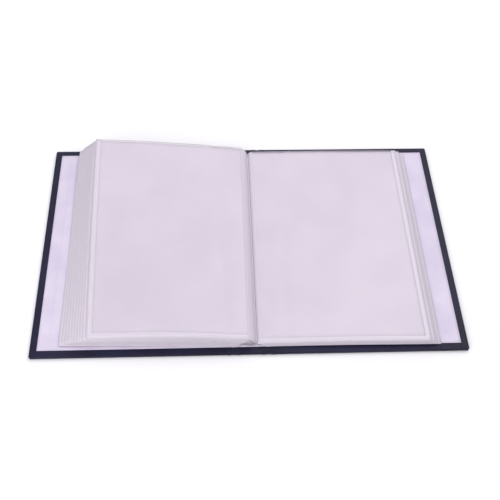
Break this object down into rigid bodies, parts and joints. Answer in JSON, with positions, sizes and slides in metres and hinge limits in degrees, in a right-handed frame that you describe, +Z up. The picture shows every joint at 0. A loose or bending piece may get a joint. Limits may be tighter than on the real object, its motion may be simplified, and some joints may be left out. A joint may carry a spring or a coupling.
{
  "type": "stamp album",
  "caption": "Hardback pocket album lying open: leatherette case with spine, and clear welded pocket leaves holding white sheets, each hinged at the spine.",
  "frame": {"origin": "middle of the spine, on the face that rests on the table with the album lying open", "axes": "+X towards the back cover, +Y towards the head of the pages, +Z up out of the open pages"},
  "size_m": [0.3584, 0.226, 0.0236],
  "materials": {
    "leatherette": "embossed navy-black leatherette",
    "grey_board": "grey book board",
    "lining_paper": "smooth white lining paper",
    "clear_film": "clear welded polypropylene film",
    "white_sheet": "smooth white sheet",
    "glue": "set binding glue"
  },
  "bodies": {
    "back_cover": {"back_cover_board": "grey_board", "back_cover_skin": "leatherette", "back_cover_liner": "lining_paper"},
    "spine": {"spine_board": "grey_board", "spine_skin": "leatherette", "spine_liner": "lining_paper", "binding_tabs": "clear_film", "binding_glue": "glue"},
    "front_cover": {"front_cover_board": "grey_board", "front_cover_skin": "leatherette", "front_cover_liner": "lining_paper"},
    "leaf_01": {"leaf_01_pocket": "clear_film", "leaf_01_sheet": "white_sheet"},
    "leaf_02": {"leaf_02_pocket": "clear_film", "leaf_02_sheet": "white_sheet"},
    "leaf_03": {"leaf_03_pocket": "clear_film", "leaf_03_sheet": "white_sheet"},
    "leaf_04": {"leaf_04_pocket": "clear_film", "leaf_04_sheet": "white_sheet"},
    "leaf_05": {"leaf_05_pocket": "clear_film", "leaf_05_sheet": "white_sheet"},
    "leaf_06": {"leaf_06_pocket": "clear_film", "leaf_06_sheet": "white_sheet"},
    "leaf_07": {"leaf_07_pocket": "clear_film", "leaf_07_sheet": "white_sheet"},
    "leaf_08": {"leaf_08_pocket": "clear_film", "leaf_08_sheet": "white_sheet"},
    "leaf_09": {"leaf_09_pocket": "clear_film", "leaf_09_sheet": "white_sheet"},
    "leaf_10": {"leaf_10_pocket": "clear_film", "leaf_10_sheet": "white_sheet"},
    "leaf_11": {"leaf_11_pocket": "clear_film", "leaf_11_sheet": "white_sheet"},
    "leaf_12": {"leaf_12_pocket": "clear_film", "leaf_12_sheet": "white_sheet"},
    "leaf_13": {"leaf_13_pocket": "clear_film", "leaf_13_sheet": "white_sheet"},
    "leaf_14": {"leaf_14_pocket": "clear_film", "leaf_14_sheet": "white_sheet"}
  },
  "joints": [
    {"name": "spine_fold", "type": "hinge", "parent": "back_cover", "child": "spine", "pos_m": [0.01435, 0, 0.0002], "axis": [0, 1, 0], "range_deg": [0, 90]},
    {"name": "front_cover_fold", "type": "hinge", "parent": "spine", "child": "front_cover", "pos_m": [-0.01435, 0, 0.0002], "axis": [0, 1, 0], "range_deg": [0, 90]},
    {"name": "leaf_01_turn", "type": "hinge", "parent": "spine", "child": "leaf_01", "pos_m": [-0.0104, 0, 0.0038], "axis": [0, 1, 0], "range_deg": [0, 90]},
    {"name": "leaf_02_turn", "type": "hinge", "parent": "spine", "child": "leaf_02", "pos_m": [-0.0088, 0, 0.0047], "axis": [0, 1, 0], "range_deg": [0, 89.5]},
    {"name": "leaf_03_turn", "type": "hinge", "parent": "spine", "child": "leaf_03", "pos_m": [-0.0072, 0, 0.0056], "axis": [0, 1, 0], "range_deg": [0, 89]},
    {"name": "leaf_04_turn", "type": "hinge", "parent": "spine", "child": "leaf_04", "pos_m": [-0.0056, 0, 0.0065], "axis": [0, 1, 0], "range_deg": [0, 88.5]},
    {"name": "leaf_05_turn", "type": "hinge", "parent": "spine", "child": "leaf_05", "pos_m": [-0.004, 0, 0.0074], "axis": [0, 1, 0], "range_deg": [0, 88]},
    {"name": "leaf_06_turn", "type": "hinge", "parent": "spine", "child": "leaf_06", "pos_m": [-0.0024, 0, 0.0083], "axis": [0, 1, 0], "range_deg": [0, 87.5]},
    {"name": "leaf_07_turn", "type": "hinge", "parent": "spine", "child": "leaf_07", "pos_m": [-0.0008, 0, 0.0092], "axis": [0, 1, 0], "range_deg": [0, 87]},
    {"name": "leaf_08_turn", "type": "hinge", "parent": "spine", "child": "leaf_08", "pos_m": [0.0008, 0, 0.0101], "axis": [0, 1, 0], "range_deg": [0, 86.5]},
    {"name": "leaf_09_turn", "type": "hinge", "parent": "spine", "child": "leaf_09", "pos_m": [0.0024, 0, 0.011], "axis": [0, 1, 0], "range_deg": [0, 86]},
    {"name": "leaf_10_turn", "type": "hinge", "parent": "spine", "child": "leaf_10", "pos_m": [0.004, 0, 0.0119], "axis": [0, 1, 0], "range_deg": [0, 85.5]},
    {"name": "leaf_11_turn", "type": "hinge", "parent": "spine", "child": "leaf_11", "pos_m": [0.0056, 0, 0.0065], "axis": [0, -1, 0], "range_deg": [0, 89.55]},
    {"name": "leaf_12_turn", "type": "hinge", "parent": "spine", "child": "leaf_12", "pos_m": [0.0072, 0, 0.0056], "axis": [0, -1, 0], "range_deg": [0, 89.7]},
    {"name": "leaf_13_turn", "type": "hinge", "parent": "spine", "child": "leaf_13", "pos_m": [0.0088, 0, 0.0047], "axis": [0, -1, 0], "range_deg": [0, 89.85]},
    {"name": "leaf_14_turn", "type": "hinge", "parent": "spine", "child": "leaf_14", "pos_m": [0.0104, 0, 0.0038], "axis": [0, -1, 0], "range_deg": [0, 90]}
  ],
  "couplings": [
    {"joint": "front_cover_fold", "follows": "spine_fold", "ratio": 1},
    {"joint": "leaf_01_turn", "follows": "spine_fold", "ratio": 1},
    {"joint": "leaf_02_turn", "follows": "spine_fold", "ratio": 0.99444},
    {"joint": "leaf_03_turn", "follows": "spine_fold", "ratio": 0.98889},
    {"joint": "leaf_04_turn", "follows": "spine_fold", "ratio": 0.98333},
    {"joint": "leaf_05_turn", "follows": "spine_fold", "ratio": 0.97778},
    {"joint": "leaf_06_turn", "follows": "spine_fold", "ratio": 0.97222},
    {"joint": "leaf_07_turn", "follows": "spine_fold", "ratio": 0.96667},
    {"joint": "leaf_08_turn", "follows": "spine_fold", "ratio": 0.96111},
    {"joint": "leaf_09_turn", "follows": "spine_fold", "ratio": 0.95556},
    {"joint": "leaf_10_turn", "follows": "spine_fold", "ratio": 0.95},
    {"joint": "leaf_11_turn", "follows": "spine_fold", "ratio": 0.995},
    {"joint": "leaf_12_turn", "follows": "spine_fold", "ratio": 0.99667},
    {"joint": "leaf_13_turn", "follows": "spine_fold", "ratio": 0.99833},
    {"joint": "leaf_14_turn", "follows": "spine_fold", "ratio": 1}
  ]
}
